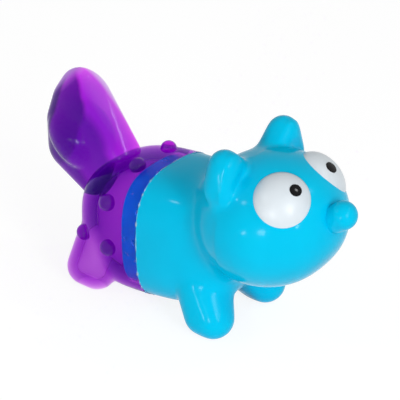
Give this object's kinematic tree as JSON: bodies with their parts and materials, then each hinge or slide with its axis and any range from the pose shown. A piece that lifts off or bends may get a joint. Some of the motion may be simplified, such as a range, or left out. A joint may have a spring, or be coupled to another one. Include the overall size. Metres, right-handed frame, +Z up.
{
  "type": "squeaky dog toy",
  "caption": "Hollow squeaky dog toy shaped as a standing fox: an opaque blue front shell and a clear purple rear shell with a bushy tail, glued at a seam, with dome eyes and a belly squeaker.",
  "frame": {"origin": "on the floor, under the middle of the toy's box", "axes": "+X to the nose, +Y to the toy's left, +Z up"},
  "size_m": [0.1204, 0.0458, 0.068],
  "materials": {
    "blue_rubber": "satin, opaque",
    "purple_rubber": "glossy, translucent",
    "clear_adhesive": "clear, glossy",
    "eye_white": "satin",
    "eye_black": "glossy",
    "squeaker_plastic": "matte",
    "reed_film": "glossy"
  },
  "bodies": {
    "toy": {"front_shell": "blue_rubber", "rear_shell": "purple_rubber", "seam_adhesive": "clear_adhesive", "right_eyeball": "eye_white", "left_eyeball": "eye_white", "right_pupil": "eye_black", "left_pupil": "eye_black", "squeaker_cup": "squeaker_plastic", "reed_seat": "squeaker_plastic", "reed_wedge": "squeaker_plastic"},
    "tail": {"tail": "purple_rubber"},
    "reed": {"reed": "reed_film"}
  },
  "joints": [
    {"name": "tail_flex", "type": "hinge", "parent": "toy", "child": "tail", "pos_m": [-0.03476, 0, 0.03584], "axis": [0.7071, 0, 0.7071], "range_deg": [-20, 20], "stiffness_Nm_per_rad": 0.06},
    {"name": "reed_flex", "type": "hinge", "parent": "toy", "child": "reed", "pos_m": [0.00254, 0.0008, 0.01445], "axis": [1, 0, 0], "range_deg": [-11, 10], "stiffness_Nm_per_rad": 0.00005}
  ]
}
